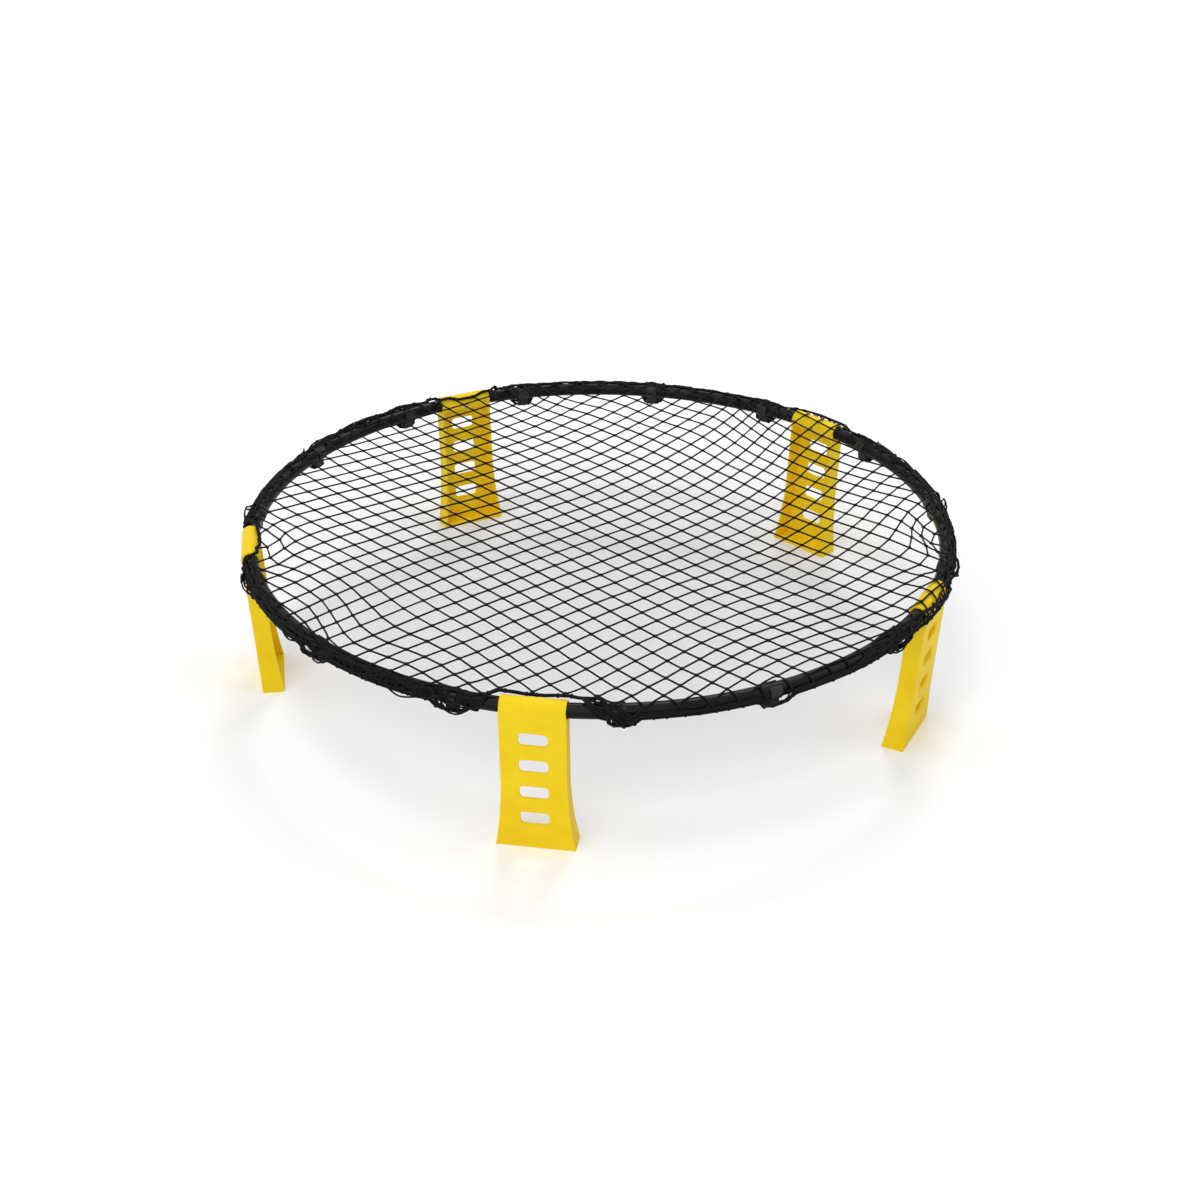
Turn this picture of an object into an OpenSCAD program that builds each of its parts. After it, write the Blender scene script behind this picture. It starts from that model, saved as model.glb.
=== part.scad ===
// Round bounce-net game: a low ring of five plug-together tubes stands on five fold-in legs,
// and a taut square-mesh net is pulled over the ring and held below it by small hooks.
// Origin: on the ground under the middle of the ring. +Z is up. Leg 1 faces -Y.

/* [Ring] */
// Outside diameter of the ring, over its tubes
ring_d = 914; // [760:1:1060]
// Height of the top of the ring above the ground
ring_top = 199; // [185:1:230]
// Outside diameter of the rim tube
tube_d = 18; // [16:0.5:20]
// Wall thickness of the rim tube
tube_wall = 1.8; // [1.2:0.1:2.4]
// Length of a joint spigot inside each of its two tubes
spigot_reach = 30; // [15:1:50]
// Radial gap round a spigot
spigot_gap = 0.05; // [0.03:0.01:0.1]
// Gap between the ends of two tubes at a joint
joint_gap = 0.3; // [0.1:0.1:1]

/* [Leg sleeve] */
// How much narrower than the leg the sleeve is, on each side
sleeve_inset = 0.5; // [0:0.5:6]
// Wall thickness of the sleeve
sleeve_wall = 2; // [1.8:0.1:3]
// Least radial gap between the sleeve's straight bore and the curved tube
hinge_gap = 0.15; // [0.1:0.05:0.4]
// How far a leg folds in under the net, in degrees
fold = 80; // [60:1:80]

/* [Leg body] */
// Width of a leg under its sleeve
leg_w = 76; // [68:1:90]
// Width of a leg at the ground
foot_w = 94; // [92:1:110]
// Thickness of the moulded walls
leg_wall = 3; // [2:0.1:4]
// Thickness of the sole
sole = 3; // [2:0.1:5]
// Depth of the side flanges under the sleeve
flange_d = 22; // [18:0.5:24]
// Depth of the side flanges at the ground
foot_d = 28; // [24:0.5:32]
// Step from the sleeve's surface back to the leg's outer face
face_step = 0.5; // [0.3:0.1:1]
// Distance below the tube at which the sides begin to flare
flare_from = 88; // [40:1:100]
// Lean of a standing leg, foot inwards, in degrees
lean = 3.2; // [0:0.1:6]

/* [Leg slots] */
// Number of slots in a leg's outer face
slot_count = 4; // [1:1:4]
// Width of a slot
slot_w = 34; // [20:1:50]
// Height of a slot
slot_h = 17; // [8:0.5:20]
// Radius of a slot's corners, up to half its height
slot_r = 5.5; // [1:0.5:8]
// Spacing of the slots
slot_pitch = 36.8; // [28:0.2:38]
// Distance from the tube's axis down to the middle of the first slot
slot_first = 36.5; // [32:0.5:40]

/* [Stop screw] */
// Diameter of the screw that keeps a sleeve in place and stops its fold
screw_d = 3; // [2.5:0.1:4]
// Diameter of its head
head_d = 6; // [5:0.1:7]
// Height of its head
head_h = 2; // [1.5:0.1:2.2]
// How far the screw reaches into the tube
screw_reach = 6; // [4:0.5:10]
// Radial gap round the screw and its head
screw_gap = 0.05; // [0.02:0.01:0.1]

/* [Hooks] */
// Width of a hook along the ring
hook_w = 15; // [9:1:18]
// Wall thickness of a hook's clip round the tube
clip_wall = 1.4; // [1:0.1:2]
// Thickness of a hook's stem
stem_t = 6.4; // [6:0.1:9]
// How far the middle of the border cord hangs below the tube's axis at a hook
hook_drop = 18.6; // [16:0.1:22]
// Opening at the top of a clip, in degrees
clip_open = 70; // [40:5:100]

/* [Net] */
// Diameter of the border cord
cord_d = 4; // [3:0.1:4.4]
// Spacing of the net's strands
mesh = 52.6; // [48:0.1:70]
// Width and thickness of a strand
strand = 2.2; // [1.6:0.1:2.4]
// Clear space between the net and what it passes over
net_gap = 0.8; // [0.6:0.1:1]
// Sag of the middle of the net
sag = 6; // [0:0.5:12]
// Turn of the net's strands from the X axis, in degrees
net_turn = 49; // [0:1:90]

/* [Hidden] */
$fn = 96;

legs = 5;
sector = 360 / legs;
first_leg = -90;

// Tube and ring
tube_r = tube_d / 2;
rim_r = ring_d / 2 - tube_r;
rim_z = ring_top - tube_r;
bore_r = tube_r - tube_wall;

// Sleeve: the leg's straight bore runs along the best straight line through the curved tube
sleeve_w = leg_w - 2 * sleeve_inset;
bow = rim_r - sqrt(rim_r * rim_r - leg_w * leg_w / 4);
hinge_r = rim_r - bow / 2;
sleeve_bore = tube_r + bow / 2 + hinge_gap;
sleeve_r = sleeve_bore + sleeve_wall;

// Leg body, measured down from the sleeve's axis
face_y = sleeve_r - face_step;
leg_len = (rim_z + foot_d * sin(lean)) / cos(lean);
flare = (foot_w - leg_w) / 2;
flare_len = leg_len - flare_from;
outline_steps = 10;
// Straight length that stays between a slot's corners
slot_flat = 0.02;
// How far a cutting shape reaches past what it cuts
cut = 1;

// Gap between the tube and what sits on it: the screw's head and the clips
seat_gap = 0.1;

// Stop screw: its place round the tube, how far its shank reaches out of the tube into the head,
// and the window that the sleeve needs for it, with some degrees to spare
screw_at = 250;
shank_out = 0.5;
window_spare = 2;
window_w = head_d + 4 * screw_gap;
head_seat = tube_r + seat_gap;
head_half = asin((head_d / 2 + screw_gap) / head_seat) + window_spare;

// Hooks, in degrees from their leg
hook_at = [-12, 12, 34.8];
clip_r = tube_r + seat_gap;
clip_out = clip_r + clip_wall;
cord_r = cord_d / 2;
cord_fit = 0.3;

// Net: the path of its strands over the tube, the clips and the sleeves
over_tube = tube_r + net_gap + strand / 2;
over_clip = clip_out - tube_r;
over_sleeve = sleeve_r + bow / 2 - tube_r;
end_tube = 104;
end_sleeve = 80;
rise_len = 30;
rise_end = 6;
side_room = 8;
side_fade = 12;
end_room = 18;
end_fade = 10;
// How near the ring the last strand may lie, as a share of its radius, and how far over the tube
// the strands still cross, as a share of their distance from its axis
last_share = 0.95;
crossing_share = 0.8;

// Border cord, as [outwards, upwards] from the tube's axis. Where it lies free, it is free_at
// degrees round the tube from the top. By a sleeve, it is sleeve_dip below the axis.
free_at = 125;
free_spare = 0.5;
sleeve_dip = 1;
free_r = tube_r + cord_fit + cord_r + free_spare;
cord_free = [free_r * sin(free_at), free_r * cos(free_at)];
cord_hook = [0, -hook_drop];
cord_sleeve = [sleeve_r + bow / 2 + cord_fit + cord_r, -sleeve_dip];
cord_room = 1.5;
hook_slope = 16;
sleeve_slope = 12.5;

function deg_of(len) = len / rim_r * 180 / PI;
function at_leg(k) = first_leg + sector * (k - 1);

// Puts a shape made with X along the tube, Y outwards and Z up at the tube of a given angle
module at_rim(angle, radius = rim_r) {
  rotate([0, 0, angle - 90]) translate([0, radius, rim_z]) children();
}

// A round-cornered rectangle as a list of points
function rounded(w, h, r, steps = 6) = [
  for (c = [[1, 1, 0], [-1, 1, 90], [-1, -1, 180], [1, -1, 270]])
    for (i = [0:steps])
      [c[0] * (w / 2 - r) + r * cos(c[2] + 90 * i / steps),
       c[1] * (h / 2 - r) + r * sin(c[2] + 90 * i / steps)]
];

// A flat slice of a circle between two angles, measured from straight up towards the outside
module slice(a, b, r, steps = 4) {
  polygon(concat([[0, 0]], [for (i = [0:steps]) let (t = a + (b - a) * i / steps) r * [sin(t), cos(t)]]));
}

// Turns a flat Y-Z drawing into a bar of a given length along X, centred on X = 0
module along_tube(len) {
  translate([-len / 2, 0, 0]) rotate([90, 0, 90]) linear_extrude(len) children();
}

/* ---- Ring ---- */

module arc_tube(angle, outer, inner) {
  rotate_extrude(angle = angle) translate([rim_r, 0]) difference() {
    circle(outer);
    circle(inner);
  }
}

module rim_tube(k) {
  span = sector - deg_of(joint_gap);
  color("#1b1c1e") difference() {
    rotate([0, 0, at_leg(k) - span / 2]) translate([0, 0, rim_z]) arc_tube(span, tube_r, bore_r);
    at_rim(at_leg(k)) rotate([180 - screw_at, 0, 0]) translate([0, 0, -tube_d])
      cylinder(r = screw_d / 2 + screw_gap, h = tube_d);
  }
}

// The plug that joins tube k to the next one
module joint_spigot(k) {
  span = 2 * deg_of(spigot_reach);
  color("#4a4d50") rotate([0, 0, at_leg(k) + sector / 2 - span / 2]) translate([0, 0, rim_z])
    arc_tube(span, bore_r - spigot_gap, bore_r - spigot_gap - tube_wall);
}

/* ---- Hooks ---- */

module hook_outline() {
  difference() {
    union() {
      circle(clip_out);
      translate([-stem_t / 2, -hook_drop - cord_r / 2]) square([stem_t, hook_drop]);
    }
    circle(clip_r);
    slice(-clip_open / 2, clip_open / 2, 2 * clip_out);
    translate([0, -hook_drop]) circle(cord_r + cord_fit);
  }
}

module net_hooks(k) {
  color("#3a3c3e") for (a = hook_at) at_rim(at_leg(k) + a) along_tube(hook_w) hook_outline();
}

/* ---- Legs ---- */

// Half the leg's width, and the depth of its flanges, at a distance down from the sleeve's axis
function curve_out(grow, down) =
  let (r = (flare_len * flare_len + grow * grow) / (2 * grow), d = max(0, down - flare_from))
  r - sqrt(r * r - d * d);
function half_w(down) = leg_w / 2 + curve_out(flare, down);
function depth(down) = flange_d + curve_out(foot_d - flange_d, down);
downs = concat([0], [for (i = [0:outline_steps]) flare_from + flare_len * i / outline_steps]);

// The leg seen from outside, drawn with the sleeve's axis at the top edge
module front_outline(inset = 0) {
  n = len(downs) - 1;
  polygon(concat([for (d = downs) [half_w(d) - inset, -d]],
                 [for (i = [n:-1:0]) [inset - half_w(downs[i]), -downs[i]]]));
}

// The leg seen from its side
module side_outline() {
  polygon(concat([[face_y, 0]], [for (d = downs) [face_y - depth(d), -d]], [[face_y, -leg_len]]));
}

module leg_solid() {
  intersection() {
    translate([0, face_y, 0]) rotate([90, 0, 0]) linear_extrude(2 * foot_d) front_outline();
    along_tube(foot_w + 2 * cut) side_outline();
  }
}

// The space inside the leg: open on the net's side, closed by the sole at the bottom
module leg_hollow() {
  translate([0, face_y - leg_wall, 0]) rotate([90, 0, 0]) linear_extrude(2 * foot_d)
    front_outline(leg_wall);
}

module slots() {
  for (i = [0:slot_count - 1]) translate([0, face_y + cut, -slot_first - slot_pitch * i])
    rotate([90, 0, 0]) linear_extrude(leg_wall + 2 * cut)
      polygon(rounded(slot_w, slot_h, min(slot_r, (slot_h - slot_flat) / 2)));
}

// Half-space above a height over the ground, for a leg drawn round the sleeve's axis
module above(h) {
  translate([-foot_w, -foot_w, h - rim_z]) cube([2 * foot_w, 2 * foot_w, ring_top]);
}

// The leg below the sleeve, leaning, and cut level with the ground
module leg_body() {
  difference() {
    intersection() {
      rotate([-lean, 0, 0]) leg_solid();
      above(0);
    }
    intersection() {
      rotate([-lean, 0, 0]) leg_hollow();
      above(sole);
    }
    rotate([-lean, 0, 0]) slots();
  }
}

module leg(k) {
  color("#f2cf1d") at_rim(at_leg(k), hinge_r) difference() {
    union() {
      leg_body();
      along_tube(sleeve_w) circle(sleeve_r);
    }
    along_tube(leg_w + 2 * cut) circle(sleeve_bore);
    along_tube(window_w) slice(screw_at - fold - head_half, screw_at + head_half, sleeve_r + cut);
  }
}

module stop_screw(k) {
  color("#b9bcc0") at_rim(at_leg(k)) rotate([180 - screw_at, 0, 0]) mirror([0, 0, 1]) {
    translate([0, 0, tube_r - screw_reach]) cylinder(d = screw_d, h = screw_reach + shank_out);
    translate([0, 0, head_seat]) cylinder(d = head_d, h = head_h);
  }
}

/* ---- Border cord ---- */

// One sector's route: [degrees from the leg, place across the tube]
hook_edge = deg_of(hook_w / 2 + cord_room);
hook_ramp = hook_edge + deg_of(hook_slope);
sleeve_edge = deg_of(leg_w / 2 + cord_room);
sleeve_ramp = sleeve_edge + deg_of(sleeve_slope);
function hook_route(a) = [
  [a - hook_ramp, cord_free], [a - hook_edge, cord_hook],
  [a + hook_edge, cord_hook], [a + hook_ramp, cord_free]
];
sector_route = concat(
  [for (a = [-34.2, -29, -24, -19.5]) [a, cord_free]],
  hook_route(hook_at[0]),
  [[-sleeve_ramp, cord_free], [-sleeve_edge, cord_sleeve], [-sleeve_edge / 3, cord_sleeve],
   [sleeve_edge / 3, cord_sleeve], [sleeve_edge, cord_sleeve], [sleeve_ramp, cord_free]],
  hook_route(hook_at[1]),
  [for (a = [19.5, 23.5, 27.5]) [a, cord_free]],
  hook_route(hook_at[2])
);
cord_sides = 8;

function rim_point(angle, across) =
  [(rim_r + across[0]) * cos(angle), (rim_r + across[0]) * sin(angle), rim_z + across[1]];
route = [for (k = [1:legs], p = sector_route) rim_point(at_leg(k) + p[0], p[1])];

// One ring of points round a closed route, square to it
function ring(path, i, r) =
  let (
    n = len(path),
    t = path[(i + 1) % n] - path[(i + n - 1) % n],
    side = cross(t, [0, 0, 1]) / norm(cross(t, [0, 0, 1])),
    over = cross(side, t) / norm(cross(side, t))
  )
  [for (j = [0:cord_sides - 1]) let (a = 360 * j / cord_sides) path[i] + r * (cos(a) * side + sin(a) * over)];

module border_cord() {
  n = len(route);
  m = cord_sides;
  color("#17181a") polyhedron(
    points = [for (i = [0:n - 1]) each ring(route, i, cord_r)],
    faces = [for (i = [0:n - 1], j = [0:m - 1])
      let (
        k = (j + 1) % m,
        next = (i + 1) % n * m,
        a = i * m + j, b = i * m + k, c = next + k, d = next + j
      )
      each [[a, b, c], [a, c, d]]]
  );
}

/* ---- Net ---- */

// A smooth step from 0 to 1
function ease(x) = let (t = min(1, max(0, x))) t * t * (3 - 2 * t);
// 1 within half a stretch's length of the same place by any leg, falling smoothly to 0 past its end
function window(angle, place, half, fade) =
  let (off = abs((angle - first_leg - place + sector / 2 + 2 * legs * sector) % sector - sector / 2))
  ease(1 - (off - deg_of(half)) / deg_of(fade));
function on_sleeve(angle) = window(angle, 0, sleeve_w / 2 + side_room, side_fade);
function on_clip(angle) = max([for (a = hook_at) window(angle, a, hook_w / 2 + side_room, side_fade)]);

// A point of the flat-laid net, wrapped over the ring. side is -1 under the strand and 1 on top.
function drape(x, y, side) =
  let (
    rho = norm([x, y]),
    angle = atan2(y, x),
    lift = max(over_clip * on_clip(angle), over_sleeve * on_sleeve(angle)),
    turn = max(0, rho - rim_r) / over_tube * 180 / PI,
    r = over_tube + lift * ease((rho - rim_r + rise_end + rise_len) / rise_len) + side * strand / 2,
    out = min(rho, rim_r) + r * sin(turn)
  )
  [out * cos(angle), out * sin(angle), rim_z + r * cos(turn) - sag * (1 - pow(min(1, rho / rim_r), 2))];

// How far out along the flat-laid net a strand ends: short of the cord, which runs higher by a leg
function end_rho(angle) =
  let (by_leg = window(angle, 0, leg_w / 2 + end_room, end_fade))
  rim_r + over_tube * (end_tube + (end_sleeve - end_tube) * by_leg) * PI / 180;
last_strand = floor(last_share * rim_r / mesh);
crossing_rho = rim_r + crossing_share * over_tube;
half_s = strand / 2;
bend_radii = concat([for (n = [2:-1:0]) rim_r - rise_end - n * rise_len / 2],
                    [for (n = [0:3]) rim_r + over_tube * end_tube * n / 4 * PI / 180]);

// A net point from its places across (u) and along (v) a strand of family f
function at(f, u, v, side) =
  let (p = f == 0 ? [u, v] : [v, u])
  drape(p[0] * cos(net_turn) - p[1] * sin(net_turn), p[0] * sin(net_turn) + p[1] * cos(net_turn), side);

function crosses(i, j) = max(abs(i), abs(j)) <= last_strand && norm([i, j]) * mesh < crossing_rho;
function reach(f, i, s) =
  let (
    v = s * sqrt(pow(rim_r + over_tube, 2) - pow(i * mesh, 2)),
    p = f == 0 ? [i * mesh, v] : [v, i * mesh],
    angle = atan2(p[1], p[0]) + net_turn
  )
  end_rho(angle);

// The four sides of a strand between two places along it, as triangles
function quad(a, b, c, d) = [[a, b, c], [a, c, d]];
function strand_run(f, i, v0, v1) =
  let (u0 = i * mesh - half_s, u1 = i * mesh + half_s, w = f == 0 ? [v0, v1] : [v1, v0])
  concat(
    quad(at(f, u0, w[0], 1), at(f, u1, w[0], 1), at(f, u1, w[1], 1), at(f, u0, w[1], 1)),
    quad(at(f, u0, w[1], -1), at(f, u1, w[1], -1), at(f, u1, w[0], -1), at(f, u0, w[0], -1)),
    quad(at(f, u0, w[0], -1), at(f, u0, w[0], 1), at(f, u0, w[1], 1), at(f, u0, w[1], -1)),
    quad(at(f, u1, w[1], -1), at(f, u1, w[1], 1), at(f, u1, w[0], 1), at(f, u1, w[0], -1))
  );
function strand_end(f, i, v, s) =
  let (u0 = i * mesh - half_s, u1 = i * mesh + half_s, w = (f == 0) == (s > 0) ? [u1, u0] : [u0, u1])
  quad(at(f, w[1], v, -1), at(f, w[1], v, 1), at(f, w[0], v, 1), at(f, w[0], v, -1));

// A strand from one place along it to another, with a bend wherever it passes one of bend_radii
function strand_bent(f, i, v0, v1) =
  let (
    s = v0 + v1 > 0 ? 1 : -1,
    bends = [for (q = bend_radii) s * sqrt(max(0, q * q - pow(i * mesh, 2)))],
    kept = [for (v = bends) if (min(v - v0, v1 - v) > strand) v],
    vs = concat([v0], s > 0 ? kept : [for (n = [len(kept) - 1:-1:0]) kept[n]], [v1])
  )
  [for (n = [0:len(vs) - 2]) each strand_run(f, i, vs[n], vs[n + 1])];

// The free end of a strand: from its last crossing over the ring towards the border cord
function loose_end(f, i, j, s) =
  let (start = j * mesh + s * half_s, far = s * sqrt(pow(reach(f, i, s), 2) - pow(i * mesh, 2)))
  concat(
    s > 0 ? strand_bent(f, i, start, far) : strand_bent(f, i, far, start),
    strand_end(f, i, far, s)
  );

function crossing(i, j) =
  let (u0 = i * mesh - half_s, u1 = i * mesh + half_s, v0 = j * mesh - half_s, v1 = j * mesh + half_s)
  concat(
    quad(at(0, u0, v0, 1), at(0, u1, v0, 1), at(0, u1, v1, 1), at(0, u0, v1, 1)),
    quad(at(0, u0, v1, -1), at(0, u1, v1, -1), at(0, u1, v0, -1), at(0, u0, v0, -1))
  );

// From a crossing onwards: to the next crossing, or over the ring
function onward(f, i, j, s) =
  crosses(i, j + s)
    ? (s > 0 ? strand_bent(f, i, j * mesh + half_s, (j + 1) * mesh - half_s) : [])
    : loose_end(f, i, j, s);

module net() {
  span = [-last_strand:last_strand];
  triangles = [
    for (i = span, j = span) if (crosses(i, j))
      each concat(
      crossing(i, j), onward(0, i, j, 1), onward(0, i, j, -1), onward(1, j, i, 1), onward(1, j, i, -1)
    )
  ];
  color("#222426") polyhedron(
    points = [for (t = triangles) each t],
    faces = [for (n = [0:len(triangles) - 1]) [3 * n + 2, 3 * n + 1, 3 * n]]
  );
}

rim_tube(1);  // rim_tube_1
rim_tube(2);  // rim_tube_2
rim_tube(3);  // rim_tube_3
rim_tube(4);  // rim_tube_4
rim_tube(5);  // rim_tube_5
joint_spigot(1);  // joint_spigot_1
joint_spigot(2);  // joint_spigot_2
joint_spigot(3);  // joint_spigot_3
joint_spigot(4);  // joint_spigot_4
joint_spigot(5);  // joint_spigot_5
net_hooks(1);  // net_hooks_1
net_hooks(2);  // net_hooks_2
net_hooks(3);  // net_hooks_3
net_hooks(4);  // net_hooks_4
net_hooks(5);  // net_hooks_5
leg(1);  // leg_1
leg(2);  // leg_2
leg(3);  // leg_3
leg(4);  // leg_4
leg(5);  // leg_5
stop_screw(1);  // stop_screw_1
stop_screw(2);  // stop_screw_2
stop_screw(3);  // stop_screw_3
stop_screw(4);  // stop_screw_4
stop_screw(5);  // stop_screw_5
border_cord();
net();
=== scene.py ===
"""Round bounce-net game: the finish of its plug-together ring, its folding legs and its knotted net."""

import math

import bmesh
import bpy
from mathutils import Matrix, Vector, noise


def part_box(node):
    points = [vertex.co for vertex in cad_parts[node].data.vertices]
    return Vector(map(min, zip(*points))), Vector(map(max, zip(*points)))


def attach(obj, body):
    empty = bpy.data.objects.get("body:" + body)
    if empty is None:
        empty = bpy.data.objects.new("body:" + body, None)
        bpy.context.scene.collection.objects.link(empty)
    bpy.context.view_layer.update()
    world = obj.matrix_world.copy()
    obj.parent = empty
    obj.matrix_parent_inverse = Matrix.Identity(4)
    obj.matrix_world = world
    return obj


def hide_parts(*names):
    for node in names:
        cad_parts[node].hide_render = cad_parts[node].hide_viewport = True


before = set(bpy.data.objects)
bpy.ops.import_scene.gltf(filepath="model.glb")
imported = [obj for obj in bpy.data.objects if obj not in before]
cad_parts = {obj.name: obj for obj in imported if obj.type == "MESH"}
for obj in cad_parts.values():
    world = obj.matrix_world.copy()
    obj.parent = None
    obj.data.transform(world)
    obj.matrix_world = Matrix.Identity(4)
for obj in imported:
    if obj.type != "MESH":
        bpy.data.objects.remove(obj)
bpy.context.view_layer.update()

MM = 0.001
LEGS = 5

# Without a seed, Blender's vector noise is shifted by the clock, and no two runs agree
NOISE_SEED = 1
noise.seed_set(NOISE_SEED)

# ---------------------------------------------------------------- sizes from the frame

TUBE_LOW, TUBE_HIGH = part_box("rim_tube_1")
TUBE_R = (TUBE_HIGH.z - TUBE_LOW.z) / 2
RIM_Z = (TUBE_HIGH.z + TUBE_LOW.z) / 2
RIM_R = -TUBE_LOW.y - TUBE_R
SECTOR = math.tau / LEGS
FIRST_LEG = -math.pi / 2

# The hooks' angles from their leg, and the legs, counted from 0, whose sleeves the net runs over
HOOK_ANGLES = tuple(math.radians(a) for a in (-12, 12, 34.8))
OVER_SLEEVE_LEGS = (1, 2)


def ease(x):
    """A smooth step from 0 to 1"""
    x = min(1.0, max(0.0, x))
    return x * x * (3 - 2 * x)


def mix(a, b, t):
    """The value at part t of the way from a to b"""
    return a + (b - a) * t


def wrap_angle(a):
    """The same angle, from minus to plus half a turn"""
    return (a + math.pi) % math.tau - math.pi


def between(keys, x):
    """The values of a row of keys (place, value, value) at x, with smooth steps from key to key"""
    for before, after in zip(keys, keys[1:]):
        if x <= after[0]:
            break
    t = ease((x - before[0]) / (after[0] - before[0]))
    return tuple(mix(a, b, t) for a, b in zip(before[1:], after[1:]))


def nearest_leg(theta):
    """The number of the nearest leg, from 0, and how far along the ring from its middle"""
    k = round((theta - FIRST_LEG) / SECTOR) % LEGS
    return k, wrap_angle(theta - FIRST_LEG - k * SECTOR) * RIM_R


def at_rim(theta, out, up):
    """A point beside the ring, from its angle and its place across the tube"""
    r = RIM_R + out
    return Vector((r * math.cos(theta), r * math.sin(theta), RIM_Z + up))


def round_tube(theta, phi, dist):
    """A point beside the ring, from its angle round the tube and its distance from the tube's axis"""
    return at_rim(theta, dist * math.sin(phi), dist * math.cos(phi))


def on_circle(theta):
    """Where the noise round the ring is read"""
    return Vector((math.cos(theta), math.sin(theta), 0))


# ---------------------------------------------------------------- the border cord's route

# Places across the tube: degrees from its top outwards, and millimetres from its axis
FREE = (112, 11.2)
HOOKED = (180, 18.6)
BESIDE = (94, 15.2)
ON_TOP = (0, 13.4)
INNER = (-32, 15.7)
DIPPED = (-52, 15.5)
INSIDE = (-48, 14.4)

# Stretches of the route: millimetres along the ring from a hook or a leg, and the place there.
# Past a sleeve the cord lies either outside it, or inside it and clear of the leg when that folds.
PAST_HOOK = ((-24, FREE), (-8, HOOKED), (8, HOOKED), (24, FREE))
OUTSIDE_SLEEVE = ((-56, FREE), (-41.5, BESIDE), (41.5, BESIDE), (56, FREE))
INSIDE_SLEEVE = (
    (-62, FREE), (-49, ON_TOP), (-40, INNER), (-31, INNER), (-10, DIPPED),
    (10, DIPPED), (31, INNER), (40, INNER),
)
BACK_OUT = ((49, ON_TOP), (62, FREE))
# By leg 1 it stays inside the bare tube, and comes back out just before the next hook
BACK_OUT_LATE = ((50, INSIDE), (67, INSIDE), (77, ON_TOP))


def sector_keys(k):
    """The cord's route past leg k: millimetres along the ring from the leg, and the place there"""
    hooks = [a * RIM_R / MM for a in HOOK_ANGLES]
    keys = [(hook + at, place) for hook in hooks for at, place in PAST_HOOK]
    if k in OVER_SLEEVE_LEGS:
        return keys + list(OUTSIDE_SLEEVE)
    if k > 0:
        return keys + list(INSIDE_SLEEVE + BACK_OUT)
    keys.remove((hooks[1] + PAST_HOOK[0][0], FREE))
    return keys + list(INSIDE_SLEEVE + BACK_OUT_LATE)


CORD_KEYS = sorted(
    ((k * SECTOR + at * MM / RIM_R) % math.tau, *place)
    for k in range(LEGS)
    for at, place in sector_keys(k)
)
FIRST_KEY, LAST_KEY = CORD_KEYS[0], CORD_KEYS[-1]
CORD_KEYS.insert(0, (LAST_KEY[0] - math.tau, *LAST_KEY[1:]))
CORD_KEYS.append((FIRST_KEY[0] + math.tau, *FIRST_KEY[1:]))


def cord_place(theta):
    """Angle round the tube, from its top outwards, and distance from its axis, of the border cord"""
    degrees, distance = between(CORD_KEYS, (theta - FIRST_LEG) % math.tau)
    return math.radians(degrees), distance * MM


# ---------------------------------------------------------------- the net's lay

# The taut net: how high its twine's middle lies over the tube's axis, how far it sags, how far
# inside the tube's middle it begins to rise over a clip or a sleeve, and over what length
OVER_TUBE = TUBE_R + 1.5 * MM
SAG = 6 * MM
RISE_FROM, RISE_LENGTH = 40 * MM, 30 * MM
# How much higher it runs over a clip and over a sleeve, how far along the ring from their middle
# that reaches, and over what length it fades
CLIP_LIFT, CLIP_REACH, CLIP_FADE = 1.5 * MM, 22 * MM, 10 * MM
SLEEVE_LIFT, SLEEVE_REACH, SLEEVE_FADE = 3.8 * MM, 58 * MM, 14 * MM

# How much spare net hangs outside the tube, and where there is little of it: from and to which
# distance round the ring from leg 1, and over what lengths that begins and ends
FULL_OVERHANG, THIN_OVERHANG = 112 * MM, 20 * MM
THIN_FROM, THIN_TO = 75 * MM, 430 * MM
THIN_IN, THIN_OUT = 50 * MM, 60 * MM

# Where the net was drawn askew when it was hooked: the pull's angle round the ring, its distance
# from the middle, how far it reaches, and how far it draws the net along X and Y
PULLS = (
    (0, 560, 190, -30, 85),
    (35, 530, 220, -85, 20),
    (65, 510, 290, -50, 75),
    (65, 340, 80, 20, 25),
    (70, 345, 75, -15, -25),
    (100, 405, 70, -30, -10),
    (125, 350, 150, -12, -10),
    (199, 455, 45, 30, 15),
    (200, 440, 260, -50, 10),
    (204, 455, 50, 0, -25),
    (220, 530, 260, 75, 5),
    (235, 415, 80, -25, -25),
    (285, 480, 190, 12, -35),
    (310, 530, 230, -30, 45),
    (330, 390, 140, 20, -10),
    (350, 440, 55, 20, -20),
    (357, 505, 60, -40, -30),
)

# Uneven waves: their size, how far they move the net, and the level at which the noise is read.
# Ripples of the taut net, crumples of the spare net off the tube, and its slip along the ring.
RIPPLE = (60 * MM, 1.2 * MM, 0.7)
CRUMPLE = (22 * MM, 0.8 * MM, 2.1)
SLIP = (30 * MM, 6 * MM, 5.3)
RIPPLE_FADE = 40 * MM
# Uneven knots: the waves' size and level, how far they move a knot in the middle and by the ring,
# and over what length that fades
UNEVEN_SIZE, UNEVEN_LEVEL = 34 * MM, 0.3
UNEVEN_MIDDLE, UNEVEN_RIM, UNEVEN_FADE = 0.8 * MM, 3.0 * MM, 60 * MM

# How the spare net is folded under itself: part of its width, how far down towards the cord that
# part lies, and its layer
FOLDS = ((0, 0, 0), (0.4, 1, 1), (0.68, 0.38, 2), (1, 1, 2))
# How much each layer adds, how far the crumples stand off at least, how far they may sink in, and
# how sharply the bulk falls with the overhang
LAYER_STEP = 0.6 * MM
CRUMPLE_RISE = 0.16 * MM
SINK = 0.4 * MM
BULK_POWER = 1.5
# Over what length the net's edge climbs to the cord where that lies inside the ring
EDGE_CLIMB = 16 * MM
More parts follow.
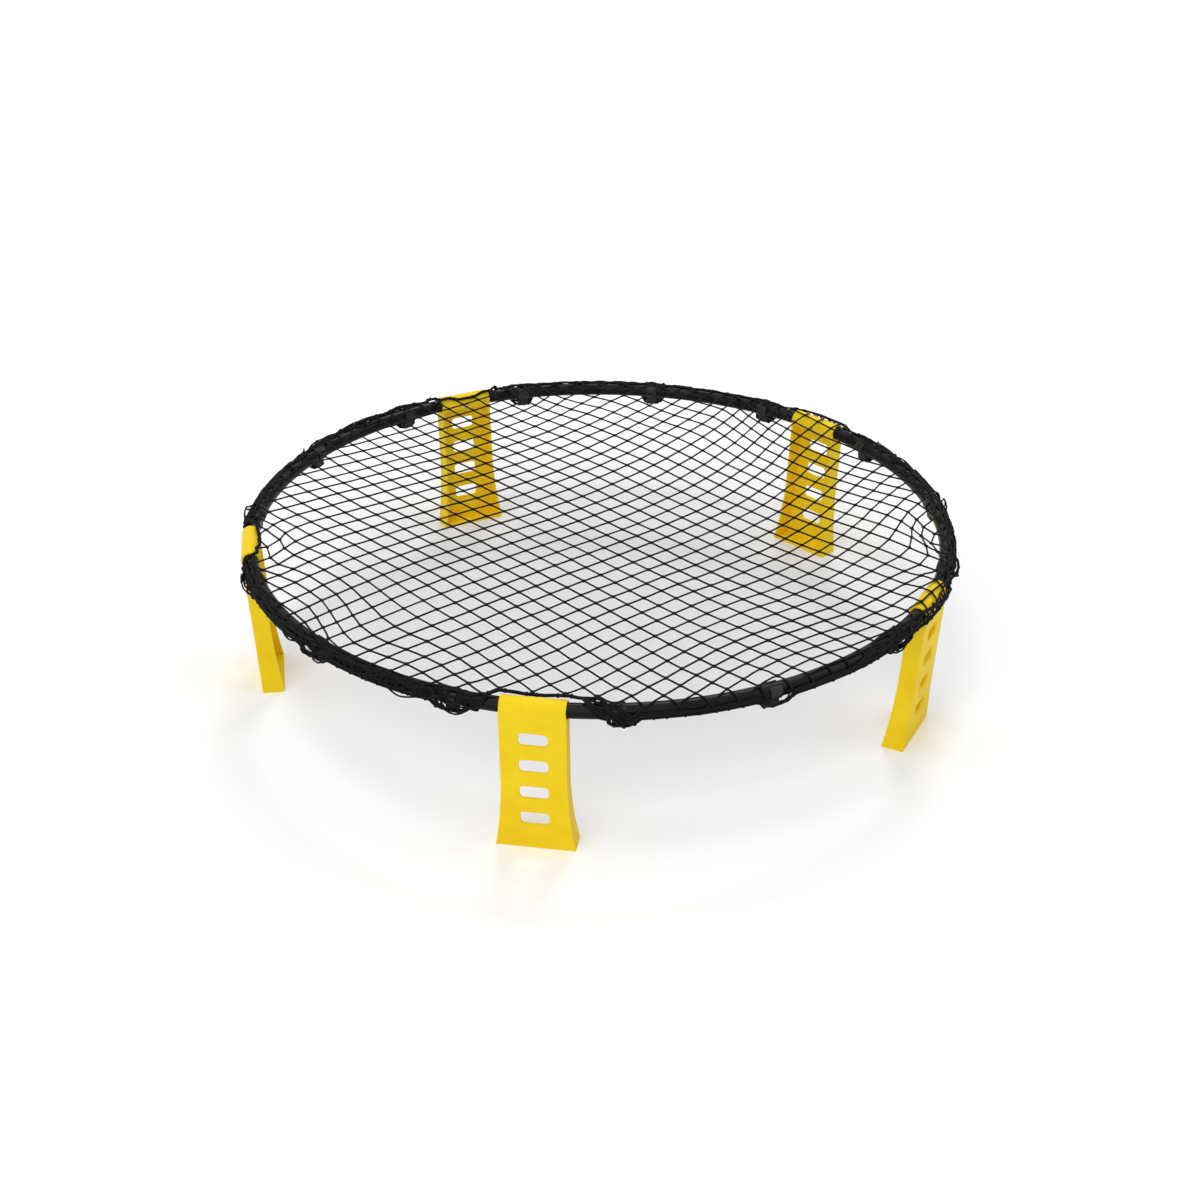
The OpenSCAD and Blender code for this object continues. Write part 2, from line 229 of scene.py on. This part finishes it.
# Where the spare net stands off the tube: degrees round the ring, how many degrees to either
# side, and how many millimetres
SLACK = ((35, 22, 2), (148, 24, 3.5), (205, 12, 1.5), (262, 8, 2))


def thinly(theta):
    """1 where little spare net hangs over the ring, between leg 1 and leg 2, and 0 elsewhere"""
    along = ((theta - FIRST_LEG) % math.tau) * RIM_R
    return ease((along - THIN_FROM) / THIN_IN) * ease((THIN_TO - along) / THIN_OUT)


def overhang(theta):
    """How much flat net hangs outside the tube's middle at an angle"""
    full = mix(FULL_OVERHANG, THIN_OVERHANG, thinly(theta))
    phi, dist = cord_place(theta)
    if phi <= 0:
        return dist * math.sin(phi)
    return full * min(1.0, phi / math.radians(FREE[0]))


def lift(theta):
    """How much higher than over the bare tube the net runs, over a clip or a sleeve"""
    k, along = nearest_leg(theta)
    high = 0.0
    for a in HOOK_ANGLES:
        off = abs(wrap_angle(theta - FIRST_LEG - k * SECTOR - a)) * RIM_R
        high = max(high, CLIP_LIFT * ease((CLIP_REACH - off) / CLIP_FADE))
    if k in OVER_SLEEVE_LEGS:
        high = max(high, SLEEVE_LIFT * ease((SLEEVE_REACH - abs(along)) / SLEEVE_FADE))
    return high


def slack(theta):
    """How far the spare net stands off the tube at an angle"""
    deg = math.degrees(theta)
    return max(mm * ease(1 - abs((deg - at + 180) % 360 - 180) / half) for at, half, mm in SLACK) * MM


def waves(p, size, reach, level):
    """How far an uneven wave moves a point of the flat net"""
    return noise.noise(Vector((p.x, p.y, level)) / size) * reach


def shifted(p):
    """A point of the evenly knotted net, moved as the hand that hooked it pulled it"""
    move = Vector((0, 0))
    for deg, distance, reach, x, y in PULLS:
        middle = Vector((math.cos(math.radians(deg)), math.sin(math.radians(deg)))) * (distance * MM)
        w = math.exp(-((p - middle).length / (reach * MM)) ** 2)
        move += Vector((x, y)) * (w * MM)
    near = math.exp(-max(0.0, RIM_R - p.length) / UNEVEN_FADE)
    uneven = noise.noise_vector(Vector((p.x, p.y, UNEVEN_LEVEL)) / UNEVEN_SIZE)
    return p + move + uneven.to_2d() * mix(UNEVEN_MIDDLE, UNEVEN_RIM, near)


def laid(p):
    """Where a point of the flat net lies: level inside the ring, over the tube, and down to the cord"""
    rho, theta = p.length, math.atan2(p.y, p.x)
    beyond = rho - RIM_R
    phi_end, dist_end = cord_place(theta)
    end = overhang(theta)
    top = OVER_TUBE + lift(theta) * ease((beyond + RISE_FROM) / RISE_LENGTH)
    sag = -SAG * (1 - min(1.0, rho / RIM_R) ** 2)
    ripple = waves(p, *RIPPLE)
    if phi_end <= 0:
        beyond = min(beyond, end)
        near_cord = ease((beyond - end + EDGE_CLIMB) / EDGE_CLIMB)
        return at_rim(theta, beyond, mix(top, dist_end * math.cos(phi_end), near_cord) + sag + ripple)
    if beyond <= 0:
        return at_rim(theta, beyond, top + sag + ripple * ease(-beyond / RIPPLE_FADE))
    t = min(1.0, beyond / end)
    bulk = min(1.0, end / FULL_OVERHANG) ** BULK_POWER
    loose = math.sin(math.pi * t) * bulk
    down, layer = between(FOLDS, t)
    bunch = (layer * LAYER_STEP + waves(p, *CRUMPLE) + CRUMPLE_RISE + slack(theta)) * loose
    slip = waves(p, *SLIP) * loose
    phi = phi_end * mix(t, down, bulk)
    dist = mix(top, dist_end, ease(t)) + max(-SINK, bunch)
    return round_tube(theta + slip / RIM_R, phi, dist)


# ---------------------------------------------------------------- meshes of twine


def unit_lump():
    """The corners and faces of a rounded lump of radius 1"""
    bm = bmesh.new()
    bmesh.ops.create_icosphere(bm, subdivisions=2, radius=1)
    verts = [v.co.copy() for v in bm.verts]
    faces = [tuple(v.index for v in f.verts) for f in bm.faces]
    bm.free()
    return verts, faces


LUMP_VERTS, LUMP_FACES = unit_lump()


class Twist:
    """Gathers tubes and knots into one mesh. Its UV map holds turns round the twine and metres along it."""

    def __init__(self):
        self.verts, self.faces, self.uvs = [], [], []

    def tube(self, points, radius, sides=6, closed=False):
        """A tube along a row of points, capped at both ends or joined into a ring"""
        count = len(points)
        base = len(self.verts)
        normal = None
        run, at = 0.0, []
        for i, p in enumerate(points):
            a = points[i - 1] if i or closed else p
            b = points[(i + 1) % count] if i < count - 1 or closed else p
            along = (b - a).normalized()
            if normal is None:
                normal = along.orthogonal().normalized()
            normal = (normal - along * normal.dot(along)).normalized()
            across = along.cross(normal)
            for j in range(sides):
                turn = math.tau * j / sides
                self.verts.append(p + (normal * math.cos(turn) + across * math.sin(turn)) * radius)
            if i:
                run += (p - points[i - 1]).length
            at.append(run)
        rows = count if closed else count - 1
        for i in range(rows):
            n = (i + 1) % count
            v0, v1 = at[i], at[n] if n else run + (points[0] - points[-1]).length
            for j in range(sides):
                m = (j + 1) % sides
                here, there = base + i * sides, base + n * sides
                self.faces.append((here + j, here + m, there + m, there + j))
                u0, u1 = j / sides, (j + 1) / sides
                self.uvs += [(u0, v0), (u1, v0), (u1, v1), (u0, v1)]
        if not closed:
            for row, order in ((0, -1), (count - 1, 1)):
                ring = [base + row * sides + j for j in range(sides)][::order]
                self.faces.append(tuple(ring))
                self.uvs += [(0.5, at[row])] * sides

    def lump(self, place, along, normal, sizes):
        """A knot: a small rounded lump, long and wide in the net's plane and low across it"""
        along = (along - normal * along.dot(normal)).normalized()
        turn = Matrix((along, normal.cross(along), normal)).transposed()
        base = len(self.verts)
        for v in LUMP_VERTS:
            self.verts.append(place + turn @ Vector((v.x * sizes[0], v.y * sizes[1], v.z * sizes[2])))
        for f in LUMP_FACES:
            self.faces.append(tuple(base + i for i in f))
            self.uvs += [(LUMP_VERTS[i].y / 2 + 0.5, LUMP_VERTS[i].x * sizes[0]) for i in f]

    def build(self, name, material):
        """The piece that all of it makes"""
        mesh = bpy.data.meshes.new(name)
        mesh.from_pydata(self.verts, [], self.faces)
        layer = mesh.uv_layers.new(name="twine")
        layer.data.foreach_set("uv", [x for uv in self.uvs for x in uv])
        mesh.polygons.foreach_set("use_smooth", [True] * len(mesh.polygons))
        mesh.materials.append(material)
        piece = bpy.data.objects.new(name, mesh)
        bpy.context.scene.collection.objects.link(piece)
        return piece


# ---------------------------------------------------------------- materials


def srgb(hex_code):
    """A colour's linear value from its sRGB hex code"""
    parts = [int(hex_code[i:i + 2], 16) / 255 for i in (1, 3, 5)]
    return tuple(p / 12.92 if p <= 0.04045 else ((p + 0.055) / 1.055) ** 2.4 for p in parts) + (1,)


def add(tree, kind, inputs=None, stops=(), **settings):
    """Adds a node with its settings. An input is a value, or the output that it is linked to. Stops
    are the places and colours of a ramp."""
    node = tree.nodes.new(kind)
    for name, value in settings.items():
        setattr(node, name, value)
    for name, value in (inputs or {}).items():
        if isinstance(value, bpy.types.NodeSocket):
            tree.links.new(value, node.inputs[name])
        else:
            node.inputs[name].default_value = value
    elements = node.color_ramp.elements if stops else ()
    while len(elements) < len(stops):
        elements.new(0.5)
    for element, (at, colour) in zip(elements, stops):
        element.position, element.color = at, srgb(colour)
    return node


def finish(name):
    """A new material with an empty tree and its output"""
    material = bpy.data.materials.new(name)
    material.use_nodes = True
    tree = material.node_tree
    tree.nodes.clear()
    return material, tree, add(tree, "ShaderNodeOutputMaterial")


def moulded(name, dark, light, roughness, gloss, grain_mm, bump_mm, mottle_mm=35):
    """Injection-moulded plastic: an even colour, a fine spark-eroded grain and faint flow marks"""
    material, tree, out = finish(name)
    place = add(tree, "ShaderNodeTexCoord").outputs["Object"]
    flow = add(tree, "ShaderNodeTexNoise", {
        "Vector": place, "Scale": 1 / (mottle_mm * MM), "Detail": 3.0,
    }).outputs["Fac"]
    grain = add(tree, "ShaderNodeTexNoise", {
        "Vector": place, "Scale": 1 / (grain_mm * MM), "Detail": 2.0,
    }).outputs["Fac"]
    colour = add(tree, "ShaderNodeValToRGB", {"Fac": flow}, stops=((0.3, dark), (0.7, light)))
    rough = add(tree, "ShaderNodeMapRange", {
        "Value": flow, "From Min": 0.3, "From Max": 0.7,
        "To Min": roughness - 0.04, "To Max": roughness + 0.05,
    })
    bump = add(tree, "ShaderNodeBump", {"Height": grain, "Strength": 0.5, "Distance": bump_mm * MM})
    shader = add(tree, "ShaderNodeBsdfPrincipled", {
        "Base Color": colour.outputs["Color"], "Roughness": rough.outputs["Result"], "IOR": 1.54,
        "Specular IOR Level": gloss, "Normal": bump.outputs["Normal"],
    })
    tree.links.new(shader.outputs["BSDF"], out.inputs["Surface"])
    return material


def twisted(name, dark, light, ridge_mm, strands, turn_mm, crossed=False):
    """Polyester twine: strands laid round each other, drawn by ridges that run slantwise round it, with
    painted shade that darkens the colour in the grooves between them
    """
    material, tree, out = finish(name)
    uv = add(tree, "ShaderNodeUVMap", uv_map="twine").outputs["UV"]
    split = add(tree, "ShaderNodeSeparateXYZ", {"Vector": uv})
    ridges = []
    for sign in ((1, -1) if crossed else (1,)):
        turns = add(tree, "ShaderNodeMath", {
            0: split.outputs["Y"], 1: sign / (turn_mm * MM),
        }, operation="MULTIPLY")
        both = add(tree, "ShaderNodeMath", {0: turns.outputs[0], 1: split.outputs["X"]}, operation="ADD")
        wave = add(tree, "ShaderNodeMath", {0: both.outputs[0], 1: strands * math.tau}, operation="MULTIPLY")
        ridges.append(add(tree, "ShaderNodeMath", {0: wave.outputs[0]}, operation="SINE").outputs[0])
    height = ridges[0]
    if crossed:
        height = add(tree, "ShaderNodeMath", {0: ridges[0], 1: ridges[1]}, operation="MAXIMUM").outputs[0]
    ridge = add(tree, "ShaderNodeMapRange", {"Value": height, "From Min": -1.0, "From Max": 1.0})
    tone = ridge.outputs["Result"]
    # Painted shade: the colour is darker where the ridge is low, in the grooves between the strands
    colour = add(tree, "ShaderNodeValToRGB", {"Fac": tone}, stops=((0.1, dark), (0.9, light)))
    place = add(tree, "ShaderNodeTexCoord").outputs["Object"]
    fuzz = add(tree, "ShaderNodeTexNoise", {"Vector": place, "Scale": 1 / (0.5 * MM), "Detail": 2.0})
    worn = add(tree, "ShaderNodeMapRange", {
        "Value": fuzz.outputs["Fac"], "To Min": 0.72, "To Max": 0.92,
    })
    bump = add(tree, "ShaderNodeBump", {"Height": tone, "Strength": 0.9, "Distance": ridge_mm * MM})
    shader = add(tree, "ShaderNodeBsdfPrincipled", {
        "Base Color": colour.outputs["Color"], "Roughness": worn.outputs["Result"], "IOR": 1.5,
        "Specular IOR Level": 0.1, "Sheen Weight": 0.02, "Sheen Roughness": 0.5,
        "Normal": bump.outputs["Normal"],
    })
    tree.links.new(shader.outputs["BSDF"], out.inputs["Surface"])
    return material


def plated(name, dark, light):
    """Zinc-plated steel: bright, with the faint blotches of its passivation"""
    material, tree, out = finish(name)
    place = add(tree, "ShaderNodeTexCoord").outputs["Object"]
    blotch = add(tree, "ShaderNodeTexNoise", {
        "Vector": place, "Scale": 1 / (2.5 * MM), "Detail": 3.0,
    }).outputs["Fac"]
    colour = add(tree, "ShaderNodeValToRGB", {"Fac": blotch}, stops=((0.35, dark), (0.65, light)))
    rough = add(tree, "ShaderNodeMapRange", {"Value": blotch, "To Min": 0.22, "To Max": 0.4})
    shader = add(tree, "ShaderNodeBsdfPrincipled", {
        "Base Color": colour.outputs["Color"], "Metallic": 1.0, "Roughness": rough.outputs["Result"],
    })
    tree.links.new(shader.outputs["BSDF"], out.inputs["Surface"])
    return material


# Yellow ABS, moulded with a fine texture: strong colour with a soft gloss
YELLOW_ABS = moulded(
    "moulded_yellow_abs", "#F6CF18", "#FCDB20", roughness=0.48, gloss=0.1, grain_mm=0.9, bump_mm=0.03,
)
# Black ABS, moulded and nearly smooth: deep black with clear highlights
BLACK_ABS = moulded(
    "moulded_black_abs", "#050606", "#08090A", roughness=0.32, gloss=0.12, grain_mm=1.2, bump_mm=0.015,
)
# Grey nylon, moulded: duller than the tubes
GREY_NYLON = moulded(
    "moulded_grey_nylon", "#222426", "#2C2E30",
    roughness=0.5, gloss=0.2, grain_mm=0.8, bump_mm=0.04, mottle_mm=12,
)
# Grey polypropylene of the plugs between the tubes, moulded: waxy and even
GREY_PLUG = moulded(
    "moulded_grey_polypropylene", "#4A4D50", "#56595C",
    roughness=0.5, gloss=0.4, grain_mm=0.8, bump_mm=0.03, mottle_mm=12,
)
# Twisted polyester: two strands to a twine, matt black with a slight fuzz and painted shade in the grooves
# between the strands
NET_TWINE = twisted(
    "twisted_polyester_twine", "#0D0E0F", "#1B1D1F", ridge_mm=0.252, strands=2, turn_mm=5.2,
)
# Braided polyester: finer, crossed ridges with painted shade in their grooves, and a little more shine
BORDER_BRAID = twisted(
    "braided_polyester_cord", "#08090A", "#131416", ridge_mm=0.48, strands=6, turn_mm=9.0, crossed=True,
)
# Zinc-plated steel of the stop screws: bright silver, a little uneven
ZINC_STEEL = plated("zinc_plated_steel", "#B4B8BC", "#C9CCCB")


def coat(node, material):
    """Gives a carried-over part its finish"""
    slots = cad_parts[node].data.materials
    slots.clear()
    slots.append(material)


for k in range(1, LEGS + 1):
    coat(f"rim_tube_{k}", BLACK_ABS)
    coat(f"joint_spigot_{k}", GREY_PLUG)
    coat(f"stop_screw_{k}", ZINC_STEEL)

# ---------------------------------------------------------------- rounded mouldings

LEG_EDGE, HOOK_EDGE = 0.8 * MM, 0.5 * MM
# How near two points count as one, up to which angle faces count as one flat, and from which angle
# an edge is rounded
WELD = 0.002 * MM
FLAT_ANGLE = math.radians(0.6)
SHARP_ANGLE = math.radians(35)


def rounded_copy(node, name, material, radius, body):
    """A moulding with its flat faces joined up and its edges rounded, in place of the sharp part"""
    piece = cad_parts[node].copy()
    piece.data = piece.data.copy()
    piece.name = piece.data.name = name
    for key in list(piece.keys()):
        del piece[key]
    bpy.context.scene.collection.objects.link(piece)
    piece.parent = None
    piece.matrix_world = Matrix.Identity(4)
    bm = bmesh.new()
    bm.from_mesh(piece.data)
    bmesh.ops.remove_doubles(bm, verts=bm.verts, dist=WELD)
    bmesh.ops.dissolve_limit(bm, angle_limit=FLAT_ANGLE, verts=bm.verts, edges=bm.edges)
    bm.to_mesh(piece.data)
    bm.free()
    piece.data.materials.clear()
    piece.data.materials.append(material)
    bevel = piece.modifiers.new("moulded_edge", "BEVEL")
    bevel.width = radius
    bevel.segments = 2
    bevel.limit_method = "ANGLE"
    bevel.angle_limit = SHARP_ANGLE
    bevel.harden_normals = True
    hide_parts(node)
    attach(piece, body)


for k in range(1, LEGS + 1):
    rounded_copy(f"leg_{k}", f"moulded_leg_{k}", YELLOW_ABS, LEG_EDGE, f"leg_{k}")
    rounded_copy(f"net_hooks_{k}", f"moulded_hooks_{k}", GREY_NYLON, HOOK_EDGE, "ring")

# ---------------------------------------------------------------- the net

TWINE_D = 2.3 * MM
PITCH = 26.3 * MM
# Directions of the net's two families of twine, a place where two of them cross, and how many
# meshes are counted to either side of it
FAMILY_ANGLES = (math.radians(-38.4), math.radians(46.2))
AXES = tuple(Vector((math.cos(a), math.sin(a))) for a in FAMILY_ANGLES)
A_KNOT = Vector((19.5, -41)) * MM
SPAN = 27
# Length, width and height of a knot, how much of them is left in the spare net, and over what
# length beyond the tube they shrink
KNOT = (3.1 * MM, 2.5 * MM, 1.9 * MM)
FOLDED_KNOT = 0.65
KNOT_FADE = 20 * MM
# A knot that ties the net's edge to the cord
TIE = (2.4 * MM, 2.9 * MM, 2.9 * MM)
# Straight parts of one mesh side, and steps in finding where a side crosses the cut edge
STRAND_PARTS = 4
CUT_STEPS = 12

# Strands of the spare net's rows, drawn together round the tube: how many there are, how many of
# them the hooks catch, and the degrees from the tube's top between which they lie
GATHERS = 10
CAUGHT = 3
GATHER_STEPS = 900
GATHER_FROM, GATHER_TO = 4, 138
# They lie with the cord near a leg's middle, and spread less where little net hangs and at a hook
GATHER_CLEAR, GATHER_FADE = 46 * MM, 30 * MM
THIN_SHARE, HOOKED_SHARE = 0.3, 0.35
# How they wander round the tube: waves to a radian of the ring, degrees, and the noise's level
# from one strand to the next
WANDER_RATE, WANDER_DEGREES, WANDER_LEVEL = 9, 50, 3.7
# How they stand off the tube: waves to a radian, distance and its wave, how much they follow the
# slack, and the noise's level for the first strand and from one to the next
HEIGHT_RATE, STAND_OFF, STAND_OFF_WAVE, SLACK_SHARE = 15, 1.5 * MM, 1.1 * MM, 0.5
HEIGHT_FIRST, HEIGHT_LEVEL = 50, 2.3
# How far they lie round the cord where they lie with it, in radians and in metres
ROUND_CORD, OFF_CORD = 0.06, 0.8 * MM
# Where one of them stands off in a loop: its number, degrees round the ring, half its length along
# the ring and how far it stands off, in millimetres
LOOPS = ((5, 31, 20, 5), (5, 163, 20, 5), (8, 226, 22, 5), (9, 250, 24, 5), (8, 263, 16, 5))


def flat_point(i, j):
    """The flat net's point at places i and j, counted in meshes along its two families of twine"""
    return shifted(A_KNOT + AXES[0] * (i * PITCH) + AXES[1] * (j * PITCH))


def covers(p):
    """Is this point of the flat net still inside its cut edge?"""
    return p.length - RIM_R <= overhang(math.atan2(p.y, p.x))


def strand(start, end):
    """The lay of one mesh side: straight between its knots on the flat net"""
    return [start.lerp(end, n / STRAND_PARTS) for n in range(STRAND_PARTS + 1)]


def cut_end(inside, outside):
    """Where a mesh side crosses the net's cut edge"""
    for _ in range(CUT_STEPS):
        middle = (inside + outside) / 2
        if covers(middle):
            inside = middle
        else:
            outside = middle
    return inside


def runs_of(row):
    """The stretches of one twine that lie inside the cut edge, as points of the flat net, and the
    places where it is cut"""
    runs, run, ends = [], [], []
    for a, b in zip(row, row[1:]):
        in_a, in_b = covers(a), covers(b)
        if in_a and in_b:
            run += strand(a, b)[:-1]
        elif in_a:
            ends.append(cut_end(a, b))
            runs.append(run + strand(a, ends[-1]))
            run = []
        elif in_b:
            ends.append(cut_end(b, a))
            run = strand(ends[-1], b)[:-1]
    return runs, ends


def gathered_run(n):
    """One strand of the spare net's rows, which lie drawn together round the tube, beside the cord"""
    points = []
    for step in range(GATHER_STEPS):
        theta = math.tau * step / GATHER_STEPS
        phi_cord, dist_cord = cord_place(theta)
        spread = ease((abs(nearest_leg(theta)[1]) - GATHER_CLEAR) / GATHER_FADE)
        spread *= mix(1.0, THIN_SHARE, thinly(theta))
        hooked = max(0.0, (math.degrees(phi_cord) - FREE[0]) / (HOOKED[0] - FREE[0]))
        if n >= GATHERS - CAUGHT:
            spread *= mix(1.0, HOOKED_SHARE, hooked)
        wander = noise.noise(on_circle(theta) * WANDER_RATE + Vector((0, 0, WANDER_LEVEL * n)))
        height = noise.noise(on_circle(theta) * HEIGHT_RATE + Vector((0, 0, HEIGHT_LEVEL * n + HEIGHT_FIRST)))
        phi = math.radians(mix(GATHER_FROM, GATHER_TO, (n + 0.5) / GATHERS) + WANDER_DEGREES * wander)
        dist = TUBE_R + lift(theta) + STAND_OFF + STAND_OFF_WAVE * height
        dist += slack(theta) * (SLACK_SHARE + height)
        for strand_number, deg, half, off in LOOPS:
            if n == strand_number:
                away = abs(wrap_angle(theta - math.radians(deg))) * RIM_R / (half * MM)
                dist += off * MM * ease(1 - away)
        turn = math.tau * n / GATHERS
        phi = mix(phi_cord + ROUND_CORD * math.cos(turn), phi, spread)
        dist = mix(dist_cord + OFF_CORD * math.sin(turn), dist, spread)
        points.append(round_tube(theta, phi, dist))
    return points


def knot_lump(net, p):
    """The knot at a crossing of the flat net"""
    place = laid(p)
    ahead, aside = (laid(p + axis * MM) - place for axis in AXES)
    size = mix(1.0, FOLDED_KNOT, ease((p.length - RIM_R) / KNOT_FADE))
    net.lump(place, ahead, ahead.cross(aside).normalized(), [s * size for s in KNOT])


def tie_lump(net, p):
    """The knot that ties a cut end of the flat net to the cord"""
    theta = math.atan2(p.y, p.x)
    phi, dist = cord_place(theta)
    outwards = on_circle(theta) * math.sin(phi) + Vector((0, 0, math.cos(phi)))
    along = Vector((-math.sin(theta), math.cos(theta), 0))
    net.lump(round_tube(theta, phi, dist), along, outwards, TIE)


def knotted_net():
    """The whole net: its rows of twine, their knots, the ties to the cord, and the gathered rows"""
    net = Twist()
    places = range(-SPAN, SPAN + 1)
    knots = [[flat_point(i, j) for j in places] for i in places]
    ties = []
    for row in [*zip(*knots), *knots]:
        runs, ends = runs_of(row)
        ties += ends
        for run in runs:
            net.tube([laid(p) for p in run], TWINE_D / 2)
    for p in (p for row in knots for p in row if covers(p)):
        knot_lump(net, p)
    for p in ties:
        tie_lump(net, p)
    for n in range(GATHERS):
        net.tube(gathered_run(n), TWINE_D / 2, closed=True)
    return net.build("knotted_net", NET_TWINE)


# ---------------------------------------------------------------- the border cord

CORD_D = 4 * MM
CORD_SIDES = 10
CORD_STEPS = 480
# How unevenly it lies: waves to a radian of the ring, and how far
CORD_WAVES, CORD_WAVER = 9, 0.6 * MM


def braided_cord():
    """The cord that the net's edge is tied to, held by the hooks"""
    points = []
    for n in range(CORD_STEPS):
        theta = math.tau * n / CORD_STEPS
        phi, dist = cord_place(theta)
        points.append(round_tube(theta, phi, dist + noise.noise(on_circle(theta) * CORD_WAVES) * CORD_WAVER))
    border = Twist()
    border.tube(points, CORD_D / 2, sides=CORD_SIDES, closed=True)
    return border.build("braided_border_cord", BORDER_BRAID)


for piece, node, slot in (
    (knotted_net(), "net", "net_polyester"),
    (braided_cord(), "border_cord", "cord_polyester"),
):
    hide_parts(node)
    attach(piece, "ring")

# ---------------------------------------------------------------- floor, light and camera

# Painted shadow on the floor: where it is darkest, and the floor's colours by the distance from there in
# metres, grey under the net and white further out
PAINTED_SHADOW_MIDDLE = (0, 0.15, 0)
PAINTED_SHADOW_TONES = ((0.0, "#E2E3E6"), (0.33, "#E4E5E8"), (0.54, "#F8F9FA"), (0.78, "#FFFFFF"))
FLOOR_SIZE = 30
# How much the floor shines to the camera alone, and how much of the walls' shine lights the scene
FLOOR_SHINE = 0.12
WALLS_LIGHT = 0.31


def pale_floor():
    """A white studio floor: matt, with a painted shadow that greys it towards the middle under the net, and
    white to the camera where nothing shades it
    """
    material, tree, out = finish("matt_white_floor_painted_shadow")
    place = add(tree, "ShaderNodeTexCoord").outputs["Object"]
    away = add(tree, "ShaderNodeVectorMath", {0: place, 1: PAINTED_SHADOW_MIDDLE}, operation="DISTANCE")
    # Painted shadow: the floor's colour greys with the distance from the middle under the net
    tone = add(tree, "ShaderNodeValToRGB", {"Fac": away.outputs["Value"]}, stops=PAINTED_SHADOW_TONES)
    diffuse = add(tree, "ShaderNodeBsdfDiffuse", {"Color": tone.outputs["Color"]})
    lifted = add(tree, "ShaderNodeEmission", {"Color": srgb("#FFFFFF"), "Strength": FLOOR_SHINE})
    both = add(tree, "ShaderNodeAddShader", {0: diffuse.outputs[0], 1: lifted.outputs[0]})
    seen = add(tree, "ShaderNodeLightPath")
    pick = add(tree, "ShaderNodeMixShader", {
        0: seen.outputs["Is Camera Ray"], 1: diffuse.outputs[0], 2: both.outputs[0],
    })
    tree.links.new(pick.outputs[0], out.inputs["Surface"])
    return material


def studio_world():
    """Studio walls that shine brighter to the camera and in glossy parts than they light the scene"""
    world = bpy.data.worlds.new("studio")
    world.use_nodes = True
    tree = world.node_tree
    tree.nodes.clear()
    paths = add(tree, "ShaderNodeLightPath").outputs
    glossy = add(tree, "ShaderNodeMath", {
        0: paths["Is Glossy Ray"], 1: paths["Is Transmission Ray"],
    }, operation="MAXIMUM")
    shows = add(tree, "ShaderNodeMath", {
        0: paths["Is Camera Ray"], 1: glossy.outputs[0],
    }, operation="MAXIMUM")
    strength = add(tree, "ShaderNodeMapRange", {
        "Value": shows.outputs[0], "To Min": WALLS_LIGHT, "To Max": 1.0,
    })
    sky = add(tree, "ShaderNodeBackground", {
        "Color": srgb("#FFFFFF"), "Strength": strength.outputs["Result"],
    })
    tree.links.new(sky.outputs[0], add(tree, "ShaderNodeOutputWorld").inputs["Surface"])
    return world


def soft_light(name, towards, energy, spread):
    """A wide studio light that shines along one direction"""
    light = bpy.data.lights.new(name, "SUN")
    light.energy, light.angle = energy, math.radians(spread)
    lamp = bpy.data.objects.new(name, light)
    lamp.rotation_euler = Vector(towards).to_track_quat("-Z", "Y").to_euler()
    bpy.context.scene.collection.objects.link(lamp)


def studio_camera(at, aim, roll, angle):
    """The camera, aimed at a point and rolled about its line of sight, with its angle of view"""
    camera = bpy.data.objects.new("camera", bpy.data.cameras.new("camera"))
    camera.data.sensor_fit = "HORIZONTAL"
    camera.data.angle = math.radians(angle)
    camera.location = at
    aimed = (Vector(aim) - Vector(at)).to_track_quat("-Z", "Y").to_matrix()
    camera.rotation_euler = (aimed @ Matrix.Rotation(math.radians(roll), 3, "Z")).to_euler()
    bpy.context.scene.collection.objects.link(camera)
    return camera


bpy.ops.mesh.primitive_plane_add(size=FLOOR_SIZE, location=(0, 0, 0))
floor = bpy.context.object
floor.name = "studio_floor"
floor.data.materials.append(pale_floor())

soft_light("overhead_light", (0.15, 0.2, -0.9), energy=0.5, spread=20)
soft_light("back_light", (0.0, -0.6, -0.8), energy=0.7, spread=18)
soft_light("left_light", (0.75, -0.1, -0.8), energy=0.4, spread=40)
soft_light("right_light", (-0.75, -0.1, -0.8), energy=0.5, spread=40)
soft_light("front_fill", (0.15, 0.8, -0.45), energy=0.95, spread=60)

bpy.context.scene.world = studio_world()
bpy.context.scene.camera = studio_camera(
    at=(0.33776, -2.11846, 1.29064), aim=(0.00881, -0.04153, 0.1), roll=0.2744, angle=35.987,
)
bpy.context.scene.view_settings.view_transform = "Standard"
